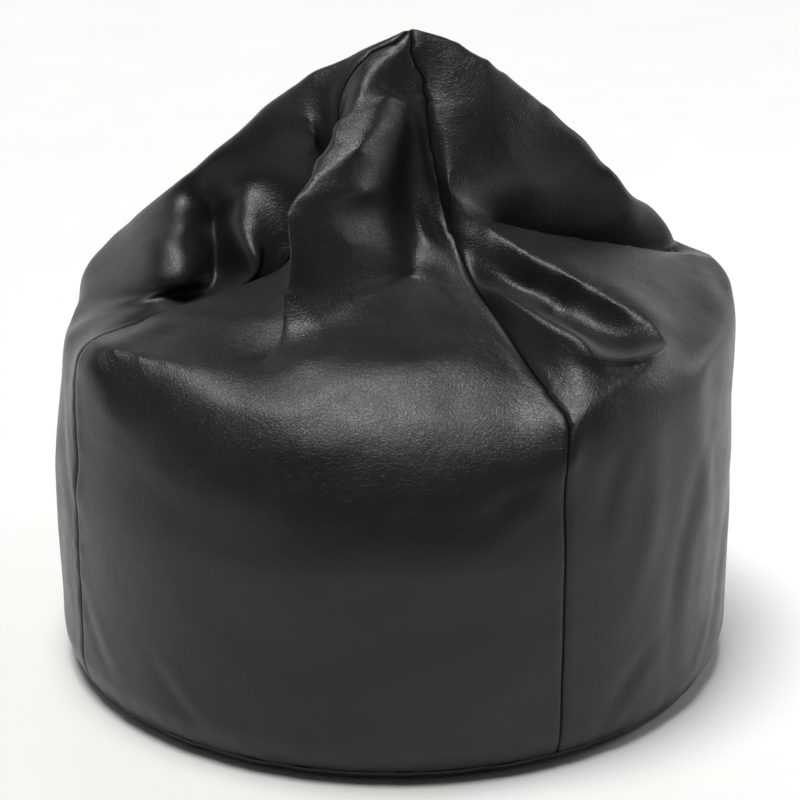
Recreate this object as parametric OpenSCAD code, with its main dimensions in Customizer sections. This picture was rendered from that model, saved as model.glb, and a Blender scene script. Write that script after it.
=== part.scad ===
// Bean bag chair: a leatherette cover of four gores and a round base, a zip in its rear seam,
// and inside it a liner with a zip of its own, full of polystyrene beads.
// The bag stands on z = 0 with its base centred on the origin. Front is -Y, up is +Z.
// Angles run round the bag from its front, towards +X.

/* [Bag] */
// Radius of the full drum at the bottom of the bag
bag_r = 430; // [380:5:500]
// Height of the drum's rim at the front, where the seat ends
rim_front = 446; // [400:2:500]
// Height of the drum's rim at the back
rim_back = 482; // [400:2:540]
// Height of the gathered tip
tip_z = 780; // [700:5:900]
// How far the tip lies behind the centre
tip_back = 86; // [0:2:140]
// How far the tip lies to the right of the centre
tip_right = 12; // [-40:2:40]
// How far the front slumps in below a straight cone
front_dip = 1.5; // [0:0.1:2]
// How full the tent's sides are: 1 is a straight cone, less bulges out
side_fullness = 0.85; // [0.7:0.05:1.2]
// Angle at which the left front seam runs
first_seam = -63; // [-75:1:-55]

/* [Cover] */
// Thickness of the leatherette with its backing
cover_t = 3; // [2:0.5:4]
// Height of the seam that joins the gores to the base
base_seam_z = 14; // [10:1:20]
// Radius of the drum's rounded rim
rim_round = 52; // [40:2:60]
// Thickness of a seam's sewing thread
thread_d = 1; // [0.8:0.1:1.2]

/* [Zip] */
// Height of the zip's lower end
zip_low = 34; // [30:1:50]
// Length of the zip's teeth between its stops
zip_len = 330; // [200:5:340]
// Width of one zip tape
tape_w = 16; // [12:1:20]
// Thickness of a zip tape
tape_t = 1; // [0.6:0.1:1]
// Width of the slit that the panels leave for the zip
slit_w = 12; // [12:0.5:14]

/* [Liner and fill] */
// Space between the cover and the liner
liner_gap = 14; // [13:0.5:16]
// Thickness of the liner
liner_t = 1.5; // [1:0.1:2]
// Space between the liner and the beads
fill_gap = 4; // [3.6:0.2:6]

/* [Hidden] */

gores = 4;
gore = 360 / gores;
zip_seam = first_seam - gore;        // the rear seam, a little left of the middle
cover_step = 7.5;                    // one facet of the cover
liner_step = 10;                     // one facet of the liner and the fill
wall_rings = 4;
rim_rings = 3;
tent_rings = 8;
rings = wall_rings + rim_rings + tent_rings;
rim_arc = 65;                        // how far the rim turns over before the tent starts
tip_inset = 3;                       // the tip's layers lie this much further apart

tape_inner = 1.0;                    // a tape's inner edge, from the zip's middle
coil_inner = 0.9;
coil_w = 2.6;
coil_h = 2.4;
stop_l = 4;
stop_h = 3.4;                        // higher than the slider's throat, so that it stops there
tape_end = 6;                        // tape past each stop
slider_l = 16;
slider_w = 11;
plate_t = 1.5;
throat_top = 2.7;
throat_low = -1.8;
flange_w = 1.4;
post_w = 1;
zip_top = zip_low + 2 * stop_l + zip_len;

liner_inset = cover_t + liner_gap;
fill_inset = liner_inset + liner_t + fill_gap;
liner_floor = cover_t + 0.5;
fill_floor = liner_floor + liner_t + 1;
thread_inset = cover_t + 1.5 * thread_d;
fill_corner = 16;                    // slope that keeps the beads off the liner's round edge

$fn = 96;

// ---- the bag's surface, at a depth below the cover's outside ----

function way(a) = [sin(a), -cos(a)];
function rim_z(a) = rim_front + (rim_back - rim_front) * (1 - cos(a)) / 2;
function slump(a) = side_fullness + front_dip * pow(max(0, cos(a + 10)), 2);
function mix(a, b, s) = a + (b - a) * s;

function wall_point(a, f, inset, low) =
    [way(a) * (bag_r - inset), mix(low, rim_z(a) - rim_round - inset, f)];
function rim_point(a, f, inset) =
    [way(a) * (bag_r - inset - rim_round * (1 - cos(f * rim_arc))),
     rim_z(a) - inset - rim_round * (1 - sin(f * rim_arc))];
function tent_point(a, s, inset) =
    let (foot = rim_point(a, 1, inset))
    [mix(foot[0], [tip_right, tip_back], s),
     mix(foot[1], tip_z - tip_inset * inset, pow(s, slump(a)))];
function flat_point(p) = [p[0][0], p[0][1], p[1]];
function bag_point(a, i, inset, low) =
    flat_point(i <= wall_rings ? wall_point(a, i / wall_rings, inset, low)
             : i <= wall_rings + rim_rings ? rim_point(a, (i - wall_rings) / rim_rings, inset)
             : tent_point(a, (i - wall_rings - rim_rings) / tent_rings, inset));

// One gore as a closed shell between two depths, from its lower edge to the tip.
module gore_shell(from, to, step, outside, inside, low) {
    cols = round((to - from) / step);
    half = rings * (cols + 1) + 1;
    function at(i, j, side) = side * half + (i >= rings ? half - 1 : i * (cols + 1) + j);
    function skin(side) = [
        for (i = [0 : rings - 1], j = [0 : cols - 1])
            let (a = at(i, j, side), b = at(i, j + 1, side),
                 c = at(i + 1, j + 1, side), d = at(i + 1, j, side))
            each (i == rings - 1 ? [[a, d, b]] : [[a, d, c], [a, c, b]])
    ];
    function flip(faces) = [for (f = faces) [f[2], f[1], f[0]]];
    function edge(j) = [
        for (i = [0 : rings - 1])
            each [[at(i, j, 0), at(i, j, 1), at(i + 1, j, 1)],
                  [at(i, j, 0), at(i + 1, j, 1), at(i + 1, j, 0)]]
    ];
    hem = [
        for (j = [0 : cols - 1])
            each [[at(0, j, 0), at(0, j + 1, 0), at(0, j + 1, 1)],
                  [at(0, j, 0), at(0, j + 1, 1), at(0, j, 1)]]
    ];
    function layer(inset) = [
        for (i = [0 : rings - 1], j = [0 : cols])
            bag_point(from + j * (to - from) / cols, i, inset, low),
        bag_point(from, rings, inset, low)
    ];
    polyhedron(points = concat(layer(outside), layer(inside)),
               faces = concat(skin(0), flip(skin(1)), edge(0), flip(edge(cols)), hem));
}

// Moves to the zip's seam, with +X across the zip, +Y outwards and the origin on the
// inner face of a layer whose outer face lies at the given depth.
module at_zip(inset) {
    rotate([0, 0, zip_seam])
        translate([0, -(bag_r - inset), 0])
            rotate([0, 0, 180])
                children();
}

module zip_slit(inset, t) {
    at_zip(inset)
        translate([-slit_w / 2, -2 * t - 5, zip_low - stop_l])
            cube([slit_w, 3 * t + 10, zip_top - zip_low + 2 * stop_l]);
}

module cover_gore(k) {
    color("#2b2b2d")
        difference() {
            gore_shell(first_seam + k * gore, first_seam + (k + 1) * gore, cover_step,
                       0, cover_t, base_seam_z);
            if (k >= 2) zip_slit(0, cover_t);
        }
}

module front_panel() cover_gore(0);
module right_panel() cover_gore(1);
module rear_panel() cover_gore(2);
module left_panel() cover_gore(3);

// A round dish: flat underneath, and turned up at its edge to meet the gores' lower edge.
module dish(r, low, t, rise) {
    turn = rise - low;
    arc = [0 : 15 : 90];
    rotate_extrude()
        polygon(concat([[0, low]],
                       [for (b = arc) [r - turn + turn * sin(b), rise - turn * cos(b)]],
                       [for (b = [90 : -15 : 0]) [r - turn + (turn - t) * sin(b),
                                                  rise - (turn - t) * cos(b)]],
                       [[0, low + t]]));
}

// The gores' lower edge is a ring of facets, so the dish meets it at the facets' middles.
module base_panel() color("#232325") dish(bag_r * cos(cover_step / 2), 0, cover_t, base_seam_z);

module thread_run(a, first) {
    sides = 6;
    count = rings - first;
    function ring(i) =
        let (p = bag_point(a, i, thread_inset, base_seam_z + 2))
        [for (k = [0 : sides - 1])
            p + thread_d / 2 * [sin(a + 90) * cos(60 * k) + sin(a) * sin(60 * k),
                                -cos(a + 90) * cos(60 * k) - cos(a) * sin(60 * k), 0]];
    polyhedron(
        points = [for (i = [first : rings - 1]) each ring(i)],
        faces = concat(
            [[for (k = [0 : sides - 1]) k]],
            [[for (k = [sides - 1 : -1 : 0]) (count - 1) * sides + k]],
            [for (i = [0 : count - 2], k = [0 : sides - 1])
                let (m = (k + 1) % sides, q = i * sides)
                each [[q + k, q + sides + k, q + sides + m], [q + k, q + sides + m, q + m]]]));
}

module side_seam_thread()
    color("#1c1c1e")
        for (k = [0 : gores - 1])
            thread_run(first_seam + k * gore, k == 3 ? wall_rings + 1 : 0);

module base_seam_thread()
    color("#1c1c1e")
        rotate_extrude()
            translate([bag_r * cos(cover_step / 2) - cover_t - thread_d, base_seam_z])
                circle(d = thread_d, $fn = 24);

// ---- the two zips: side is 1 on the right and -1 on the left, seen from outside ----

module on_tape(side, step)
    rotate([0, 0, -side * step / 2])
        mirror([side < 0 ? 1 : 0, 0, 0])
            children();

module tape(inset, t, side, step)
    color("#1a1a1c")
        at_zip(inset + t)
            on_tape(side, step)
                translate([tape_inner, -tape_t, zip_low - tape_end])
                    cube([tape_w, tape_t, zip_top - zip_low + 2 * tape_end]);

module coil(inset, t, side, step)
    color("#303033")
        at_zip(inset + t)
            on_tape(side, step)
                translate([coil_inner, 0, zip_low + stop_l])
                    cube([coil_w, coil_h, zip_len]);

module closed_stops(inset, t, step)
    color("silver")
        at_zip(inset + t)
            for (side = [-1, 1])
                on_tape(side, step)
                    translate([coil_inner, 0, zip_low])
                        cube([coil_w, stop_h, stop_l]);

module open_stop(inset, t)
    color("silver")
        at_zip(inset + t)
            translate([-coil_inner - coil_w, 0, zip_top - stop_l])
                cube([2 * (coil_inner + coil_w), stop_h, stop_l]);

// A slider without a pull, as child-safe bean bags have: two plates, two flanges and a post.
module slider(inset, t)
    color("silver")
        at_zip(inset + t)
            translate([0, 0, zip_low + stop_l]) {
                for (y = [throat_top, throat_low - plate_t])
                    translate([-slider_w / 2, y, 0]) cube([slider_w, plate_t, slider_l]);
                for (x = [-slider_w / 2, slider_w / 2 - flange_w])
                    translate([x, 0.4, 0]) cube([flange_w, throat_top - 0.4, slider_l]);
                translate([-post_w / 2, throat_low, 1])
                    cube([post_w, throat_top - throat_low, 4]);
                translate([-1.2, throat_top + plate_t, 3]) cube([2.4, 1.6, 10]);
            }

module zip_tape_left() tape(0, cover_t, -1, cover_step);
module zip_tape_right() tape(0, cover_t, 1, cover_step);
module zip_coil_left() coil(0, cover_t, -1, cover_step);
module zip_coil_right() coil(0, cover_t, 1, cover_step);
module zip_closed_stops() closed_stops(0, cover_t, cover_step);
module zip_open_stop() open_stop(0, cover_t);
module zip_slider() slider(0, cover_t);

// ---- the liner, which is sewn from two halves and a round base ----

module liner_half(k)
    color("#e4e4e0")
        difference() {
            gore_shell(zip_seam + k * 180, zip_seam + (k + 1) * 180, liner_step,
                       liner_inset, liner_inset + liner_t, base_seam_z + 6);
            zip_slit(liner_inset, liner_t);
        }

module liner_right() liner_half(1);
module liner_left() liner_half(0);
module liner_base()
    color("#e4e4e0")
        dish((bag_r - liner_inset) * cos(liner_step / 2), liner_floor, liner_t, base_seam_z + 6);
module liner_tape_left() tape(liner_inset, liner_t, -1, liner_step);
module liner_tape_right() tape(liner_inset, liner_t, 1, liner_step);
module liner_coil_left() coil(liner_inset, liner_t, -1, liner_step);
module liner_coil_right() coil(liner_inset, liner_t, 1, liner_step);
module liner_closed_stops() closed_stops(liner_inset, liner_t, liner_step);
module liner_open_stop() open_stop(liner_inset, liner_t);
module liner_slider() slider(liner_inset, liner_t);

// The beads as one settled body.
module bead_fill() {
    cols = 360 / liner_step;
    tip = (rings + 1) * cols;
    function at(i, j) = i * cols + j % cols;
    color("white")
        polyhedron(
            points = concat(
                [for (j = [0 : cols - 1])
                    flat_point([way(j * liner_step) * (bag_r - fill_inset - fill_corner),
                                fill_floor])],
                [for (i = [0 : rings - 1], j = [0 : cols - 1])
                    bag_point(j * liner_step, i, fill_inset, fill_floor + fill_corner)],
                [bag_point(0, rings, fill_inset, 0)]),
            faces = concat(
                [[for (j = [0 : cols - 1]) j]],
                [for (i = [0 : rings - 1], j = [0 : cols - 1])
                    each [[at(i, j), at(i + 1, j), at(i + 1, j + 1)],
                          [at(i, j), at(i + 1, j + 1), at(i, j + 1)]]],
                [for (j = [0 : cols - 1]) [at(rings, j), tip, at(rings, j + 1)]]));
}

front_panel();
right_panel();
rear_panel();
left_panel();
base_panel();
side_seam_thread();
base_seam_thread();
zip_tape_left();
zip_tape_right();
zip_coil_left();
zip_coil_right();
zip_closed_stops();
zip_open_stop();
zip_slider();
liner_left();
liner_right();
liner_base();
liner_tape_left();
liner_tape_right();
liner_coil_left();
liner_coil_right();
liner_closed_stops();
liner_open_stop();
liner_slider();
bead_fill();
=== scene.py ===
"""Bean bag chair in black leatherette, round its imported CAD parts.

Lengths are in metres. The bag's own shape is worked out in units of its drum radius R: a place on
the cover is (angle, length), the angle round the bag from its front towards +X and the length along
the cloth from the tip, and FOLDS says where the cover's fold lines lie in space.
"""
import math

import bpy
import numpy as np
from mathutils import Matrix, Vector


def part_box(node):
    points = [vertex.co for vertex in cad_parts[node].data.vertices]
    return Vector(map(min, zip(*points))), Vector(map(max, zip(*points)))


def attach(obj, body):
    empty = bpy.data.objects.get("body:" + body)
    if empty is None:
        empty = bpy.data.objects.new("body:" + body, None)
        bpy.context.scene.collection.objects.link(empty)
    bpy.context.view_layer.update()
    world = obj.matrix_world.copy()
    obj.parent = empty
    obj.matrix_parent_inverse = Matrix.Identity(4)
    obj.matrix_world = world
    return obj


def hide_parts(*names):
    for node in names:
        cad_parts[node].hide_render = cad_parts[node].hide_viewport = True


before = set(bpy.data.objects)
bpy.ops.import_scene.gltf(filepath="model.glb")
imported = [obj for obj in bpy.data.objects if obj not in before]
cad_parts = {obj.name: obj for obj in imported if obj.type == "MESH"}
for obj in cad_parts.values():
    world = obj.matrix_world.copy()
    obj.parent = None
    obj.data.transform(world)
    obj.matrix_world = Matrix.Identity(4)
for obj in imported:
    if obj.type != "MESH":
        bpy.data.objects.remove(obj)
for spare in ("Cube", "Light", "Camera"):
    if spare in bpy.data.objects:
        bpy.data.objects.remove(bpy.data.objects[spare])
bpy.context.view_layer.update()

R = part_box("right_panel")[1].x  # the drum's radius
FIRST_SEAM = -63.0  # degrees
GORES = 4
GORE = 360.0 / GORES
PANELS = ("front_panel", "right_panel", "rear_panel", "left_panel")
BASE_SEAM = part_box("front_panel")[0].z  # height of the seam round the base
COVER_T = 0.0016

CLOTH_STEP = 0.014  # spacing of the pattern's mesh
TENT = 1.47  # length of the cone's side, in R
TOP_OF_WALL = 0.86  # the wall below this height doesn't move, in R
WALL_FROM = 1.65  # its length from the tip, in R
TIP = (0.045, 0.20, 1.815)
GOLDEN = 0.618034  # spreads the rings' odd triangles round the bag

# Every fold line: how firmly it is held, then its points as (angle, length, x, y, z), in degrees
# and in thousandths of R.
FOLDS = {
    "left edge": (0.95, [
        (-25, 100, -10, 130, 1760), (-25, 230, -80, 60, 1695), (-25, 360, -150, -30, 1620),
        (-25, 500, -220, -130, 1545), (-26, 630, -270, -220, 1475), (-27, 750, -320, -310, 1425),
        (-26, 850, -312, -360, 1336), (-24, 960, -307, -400, 1235), (-22, 1070, -300, -450, 1136),
        (-22, 1140, -304, -500, 1081), (-24, 1200, -326, -550, 1061),
        (-27, 1250, -367, -590, 1052)]),
    "left lip": (0.95, [
        (-27, 1250, -367, -590, 1052), (-36, 1280, -515, -610, 1064), (-46, 1330, -650, -580, 1071),
        (-55, 1390, -764, -530, 1080), (-63, 1450, -865, -460, 1075)]),
    "behind the left edge": (1.0, [
        (-42, 450, -110, 30, 1540), (-40, 620, -155, -40, 1410), (-38, 800, -190, -180, 1300),
        (-37, 950, -180, -290, 1205), (-35, 1080, -190, -380, 1125),
        (-33, 1170, -250, -470, 1075)]),
    "left valley": (1.0, [
        (-63, 420, -140, 80, 1450), (-63, 700, -260, 20, 1220), (-63, 850, -360, -20, 1110),
        (-63, 1070, -560, -80, 1060), (-63, 1280, -750, -240, 1050),
        (-63, 1450, -865, -460, 1075)]),
    "left seat": (0.9, [
        (-48, 880, -320, -150, 1175), (-52, 1020, -510, -170, 1130),
        (-56, 1200, -700, -280, 1085)]),
    "left seat middle": (0.9, [
        (-42, 1080, -420, -360, 1120), (-48, 1240, -620, -400, 1100)]),
    "left skyline": (0.85, [
        (-105, 80, -30, 200, 1785), (-105, 220, -155, 200, 1725), (-105, 380, -300, 200, 1658),
        (-105, 550, -424, 200, 1545), (-105, 700, -540, 200, 1442), (-105, 860, -656, 220, 1337),
        (-105, 1010, -775, 250, 1240), (-106, 1160, -868, 280, 1152), (-107, 1320, -945, 300, 1058),
        (-107, 1480, -955, 292, 950)]),
    "left shoulder crease": (1.0, [
        (-105, 380, -300, 200, 1658), (-96, 420, -255, 125, 1590), (-88, 480, -212, 50, 1519)]),
    "lump a left": (0.85, [
        (-82, 620, -350, 140, 1400), (-84, 800, -479, 100, 1313), (-80, 960, -441, -80, 1192)]),
    "lump a right": (0.85, [
        (-79, 740, -414, 100, 1343), (-76, 860, -395, 0, 1250), (-73, 980, -371, -100, 1159)]),
    "between the lumps": (0.85, [
        (-89, 800, -500, 200, 1285), (-88, 900, -515, 190, 1225), (-84, 1000, -530, 150, 1135),
        (-77, 1070, -530, 50, 1065)]),
    "lump b left": (0.85, [
        (-100, 950, -660, 110, 1262), (-99, 1080, -714, 20, 1205), (-94, 1200, -700, -85, 1125)]),
    "lump b right": (0.85, [
        (-95, 900, -600, 110, 1270), (-92, 1020, -597, 20, 1229), (-87, 1140, -571, -85, 1140)]),
    "left rim": (0.9, [
        (-96, 1400, -940, 120, 1010), (-88, 1470, -950, 0, 985), (-76, 1500, -930, -200, 1010)]),
    "leaf ridge": (0.9, [
        (-27, 750, -320, -310, 1425), (-20, 820, -215, -315, 1366), (-9, 870, -107, -280, 1305),
        (0, 890, -15, -215, 1232), (12, 900, 75, -150, 1175), (20, 920, 150, -255, 1190)]),
    "wedge": (0.9, [
        (-8, 330, 4, 40, 1660), (-12, 490, -52, -130, 1575), (-18, 640, -145, -262, 1465)]),
    "leaf": (0.85, [
        (10, 360, 52, 70, 1585), (8, 600, 35, -10, 1385), (10, 740, 75, -60, 1273)]),
    "leaf foot": (0.95, [
        (-19, 950, -228, -420, 1141), (-11, 940, -134, -360, 1165), (0, 940, -24, -250, 1175),
        (12, 935, 88, -190, 1165), (20, 970, 170, -330, 1180)]),
    "seat": (0.85, [
        (-19, 1060, -220, -470, 1122), (-9, 1060, -100, -465, 1122), (4, 1060, 60, -460, 1122),
        (14, 1070, 190, -470, 1130)]),
    "seat front": (0.85, [
        (-18, 1150, -220, -545, 1103), (-8, 1150, -60, -550, 1102), (4, 1150, 100, -550, 1100),
        (14, 1150, 210, -545, 1107)]),
    "seat brow": (0.85, [
        (-22, 1250, -280, -620, 1085), (-14, 1250, -160, -635, 1083), (0, 1250, 0, -645, 1082),
        (13, 1250, 200, -635, 1080)]),
    "seat crest": (0.85, [
        (-30, 1330, -420, -660, 1040), (-16, 1330, -180, -715, 1045), (-2, 1330, 30, -720, 1043),
        (12, 1330, 220, -710, 1035), (20, 1340, 330, -700, 1030)]),
    "front seam": (1.0, [
        (27, 50, 67, 170, 1785), (27, 190, 76, 120, 1650), (27, 370, 98, 50, 1490),
        (27, 500, 124, -10, 1386), (27, 670, 165, -130, 1278), (27, 800, 208, -230, 1213),
        (27, 920, 236, -330, 1173), (27, 1080, 289, -470, 1126), (27, 1260, 363, -640, 1052),
        (27, 1370, 413, -740, 1020), (27, 1470, 460, -825, 980), (27, 1550, 456, -872, 920),
        (27, 1650, 455, -888, 840), (27, 1770, 454, -890, 730)]),
    "pleat left": (1.0, [
        (33, 160, 85, 85, 1690), (34, 350, 108, -5, 1540), (36, 500, 130, -75, 1440),
        (40, 620, 162, -130, 1362)]),
    "pleat right": (1.0, [
        (48, 200, 130, 100, 1680), (48, 350, 160, 20, 1550), (46, 500, 175, -60, 1440),
        (40, 620, 162, -130, 1362)]),
    "flank edge": (1.0, [
        (40, 620, 162, -130, 1362), (52, 720, 266, -80, 1322), (63, 830, 392, -30, 1279),
        (73, 950, 535, 30, 1233), (80, 1070, 666, 80, 1203), (86, 1200, 799, 130, 1174),
        (91, 1310, 893, 170, 1144), (95, 1420, 985, 200, 1117)]),
    "behind the flank": (1.0, [
        (62, 640, 260, 50, 1270), (73, 780, 400, 120, 1170), (81, 920, 540, 170, 1120),
        (88, 1060, 680, 230, 1090), (94, 1200, 820, 280, 1080)]),
    "right face": (0.9, [
        (68, 250, 220, 100, 1660), (70, 450, 320, 50, 1500), (76, 620, 430, 100, 1360)]),
    "right skyline": (0.85, [
        (96, 50, 105, 200, 1815), (96, 120, 160, 200, 1790), (96, 240, 265, 200, 1738),
        (96, 380, 382, 200, 1653), (96, 530, 498, 200, 1552), (97, 700, 616, 210, 1435),
        (99, 900, 731, 230, 1283)]),
    "right flap": (0.85, [
        (105, 960, 770, 320, 1275), (105, 1080, 830, 340, 1195), (103, 1180, 860, 350, 1130)]),
    "right corner": (0.9, [
        (95, 1420, 985, 200, 1117), (104, 1360, 930, 320, 1110), (112, 1300, 860, 420, 1100)]),
    "shelf edge": (0.9, [
        (40, 620, 162, -130, 1362), (46, 740, 272, -150, 1298), (50, 860, 369, -200, 1259),
        (53, 960, 450, -250, 1227), (55, 1080, 539, -310, 1187), (57, 1180, 609, -370, 1160),
        (59, 1280, 688, -420, 1132), (60, 1350, 744, -470, 1100), (58, 1390, 752, -500, 1084)]),
    "shelf front": (0.85, [
        (42, 770, 276, -175, 1268), (46, 890, 372, -225, 1229), (49, 1000, 455, -275, 1197),
        (52, 1115, 545, -335, 1157), (55, 1215, 615, -395, 1130)]),
    "pocket": (0.85, [
        (37, 800, 275, -185, 1200), (42, 920, 370, -245, 1146), (46, 1040, 455, -300, 1105),
        (50, 1150, 545, -365, 1075), (53, 1250, 620, -425, 1060)]),
    "pocket edge": (0.85, [
        (29, 930, 240, -345, 1185), (32, 970, 265, -420, 1224), (35, 1040, 339, -490, 1208),
        (38, 1110, 416, -560, 1183), (41, 1190, 489, -620, 1157), (43, 1250, 529, -660, 1126),
        (46, 1300, 577, -670, 1090), (50, 1330, 656, -620, 1090), (54, 1370, 727, -550, 1081),
        (58, 1390, 752, -500, 1084)]),
    "pocket brow": (0.85, [
        (32, 1090, 333, -528, 1180), (35, 1160, 410, -597, 1155), (39, 1240, 482, -655, 1130),
        (42, 1300, 525, -690, 1100)]),
    "corner brow": (0.85, [
        (36, 1560, 550, -800, 965), (44, 1550, 645, -715, 995), (52, 1520, 735, -620, 1025)]),
    "corner ridge": (0.95, [
        (58, 1390, 752, -500, 1084), (51, 1450, 704, -600, 1072), (43, 1480, 619, -690, 1047),
        (35, 1490, 534, -770, 1017), (27, 1470, 460, -825, 980)]),
    "brow": (0.8, [
        (-53, 1450, -745, -585, 1010), (-44, 1430, -630, -655, 1005), (-33, 1420, -465, -725, 1000),
        (-18, 1420, -255, -775, 1000), (0, 1420, 0, -785, 998), (14, 1420, 210, -785, 990),
        (21, 1440, 335, -790, 975)]),
    "rim": (0.8, [
        (-63, 1580, -882, -452, 950), (-53, 1550, -780, -600, 925), (-44, 1540, -660, -685, 920),
        (-33, 1530, -500, -775, 920), (-18, 1530, -275, -850, 925), (0, 1530, 0, -870, 920),
        (14, 1530, 225, -870, 910), (21, 1540, 340, -855, 905)]),
    "below the rim": (0.8, [
        (-63, 1720, -889, -453, 800), (-50, 1650, -745, -630, 835), (-33, 1640, -530, -805, 830),
        (-18, 1640, -295, -895, 830), (0, 1640, 0, -930, 830), (14, 1640, 235, -920, 825)]),
    "right rim": (0.8, [
        (42, 1610, 665, -727, 920), (60, 1550, 845, -490, 1000), (78, 1500, 955, -200, 1050),
        (92, 1500, 995, 50, 1080), (97, 1510, 985, 170, 1050)]),
    "right rear seam": (0.9, [
        (117, 280, 220, 330, 1600), (117, 580, 440, 420, 1380), (117, 920, 680, 450, 1170),
        (117, 1200, 830, 450, 1130), (117, 1450, 885, 455, 1020)]),
    "rear ridge right": (0.85, [
        (140, 250, 150, 380, 1630), (142, 600, 330, 600, 1400), (146, 950, 480, 740, 1210),
        (148, 1250, 520, 840, 1090)]),
    "rear hollow": (0.85, [
        (168, 300, 50, 400, 1530), (168, 650, 100, 600, 1300), (170, 1000, 130, 800, 1120),
        (172, 1300, 140, 920, 1040)]),
    "rear ridge left": (0.85, [
        (188, 300, -60, 420, 1600), (190, 620, -130, 620, 1400), (194, 960, -220, 800, 1200),
        (196, 1280, -260, 900, 1060)]),
    "zip seam": (0.9, [
        (207, 280, -120, 360, 1580), (207, 600, -270, 540, 1350), (207, 950, -380, 700, 1150),
        (207, 1250, -425, 840, 1060), (207, 1500, -453, 889, 980), (207, 1600, -454, 891, 910),
        (207, 1750, -454, 891, 760), (207, 1870, -454, 891, 640)]),
    "left rear ridge": (0.85, [
        (228, 350, -270, 340, 1560), (230, 680, -480, 480, 1360), (234, 1000, -660, 580, 1170),
        (236, 1250, -750, 580, 1060)]),
    "beside the zip": (0.8, [
        (204, 1600, -407, 913, 910), (204, 1750, -407, 913, 760), (204, 1870, -407, 913, 640)]),
    "beside the zip, left": (0.8, [
        (210, 1600, -500, 866, 910), (210, 1750, -500, 866, 760), (210, 1870, -500, 866, 640)]),
    "rear rim": (0.8, [
        (117, 1450, 885, 455, 1020), (135, 1450, 690, 690, 1010), (155, 1450, 410, 885, 1005),
        (180, 1450, 0, 975, 1000), (207, 1490, -452, 887, 990), (230, 1420, -750, 630, 1000),
        (248, 1400, -900, 380, 1020)]),
}


# ---- small helpers ----

def way(angle):
    """The direction at an angle round the bag."""
    a = math.radians(angle)
    return np.array((math.sin(a), -math.cos(a)))


def mesh_object(name, verts, faces):
    """A new object from plain lists, with smooth shading."""
    mesh = bpy.data.meshes.new(name)
    mesh.from_pydata([tuple(map(float, v)) for v in verts], [], faces)
    mesh.update()
    mesh.polygons.foreach_set("use_smooth", [True] * len(mesh.polygons))
    obj = bpy.data.objects.new(name, mesh)
    bpy.context.scene.collection.objects.link(obj)
    return obj


def bake(obj):
    """Turns an object's modifiers into its mesh."""
    seen = obj.evaluated_get(bpy.context.evaluated_depsgraph_get())
    mesh = bpy.data.meshes.new_from_object(seen)
    obj.modifiers.clear()
    obj.shape_key_clear()
    obj.data = mesh


def thicken(obj, thickness, offset):
    """Gives a sheet its thickness: offset -1 inwards, 1 outwards."""
    thick = obj.modifiers.new("thick", "SOLIDIFY")
    thick.thickness = thickness
    thick.offset = offset
    bake(obj)


def refine(obj):
    """Makes a mesh four times as fine each way, and smooth."""
    fine = obj.modifiers.new("fine", "SUBSURF")
    fine.levels = 2
    bake(obj)


def cut_out(name, co, faces):
    """An object from some of a mesh's faces, with only the vertices that they use."""
    used = sorted({i for f in faces for i in f})
    new = {old: i for i, old in enumerate(used)}
    return mesh_object(name, co[used], [tuple(new[i] for i in f) for f in faces])


def ring_quads(rings, spokes, first=0, last=None):
    """The faces between rings of vertices, from one column to another or all the way round."""
    out = []
    for i in range(rings - 1):
        for j in range(first, spokes if last is None else last):
            a = i * spokes + j % spokes
            b = i * spokes + (j + 1) % spokes
            out.append((a, b, b + spokes, a + spokes))
    return out


def rows_of(items, name, kind=np.float32):
    """An attribute of a mesh's vertices or edges as an array, a row for each."""
    width = 2 if name == "vertices" else 3
    out = np.empty(len(items) * width, kind)
    items.foreach_get(name, out)
    return out.reshape(-1, width)


def coords(mesh):
    """A mesh's vertices as an array."""
    return rows_of(mesh.vertices, "co").astype(float)


def mesh_normals(mesh):
    return rows_of(mesh.vertex_normals, "vector").astype(float)


def mesh_edges(mesh):
    return rows_of(mesh.edges, "vertices", np.int32)


def set_coords(mesh, co):
    """Writes an array back as a mesh's vertices."""
    mesh.vertices.foreach_set("co", np.asarray(co, np.float32).ravel())
    mesh.update()


def bell(x, width):
    """1 where x is 0, falling smoothly to 0 over a few widths."""
    return np.exp(-(x / width) ** 2)


def ease(x):
    """0 below 0, 1 above 1, and smooth between."""
    t = np.clip(x, 0, 1)
    return t * t * (3 - 2 * t)


def round_angle(co):
    """The angle round the bag of each point, in degrees."""
    return np.degrees(np.arctan2(co[:, 0], -co[:, 1]))


def turn(angle, middle):
    """How far an angle lies from another, in degrees, from -180 to 180."""
    return (angle - middle + 180) % 360 - 180


# ---- the cover's pattern ----

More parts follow.
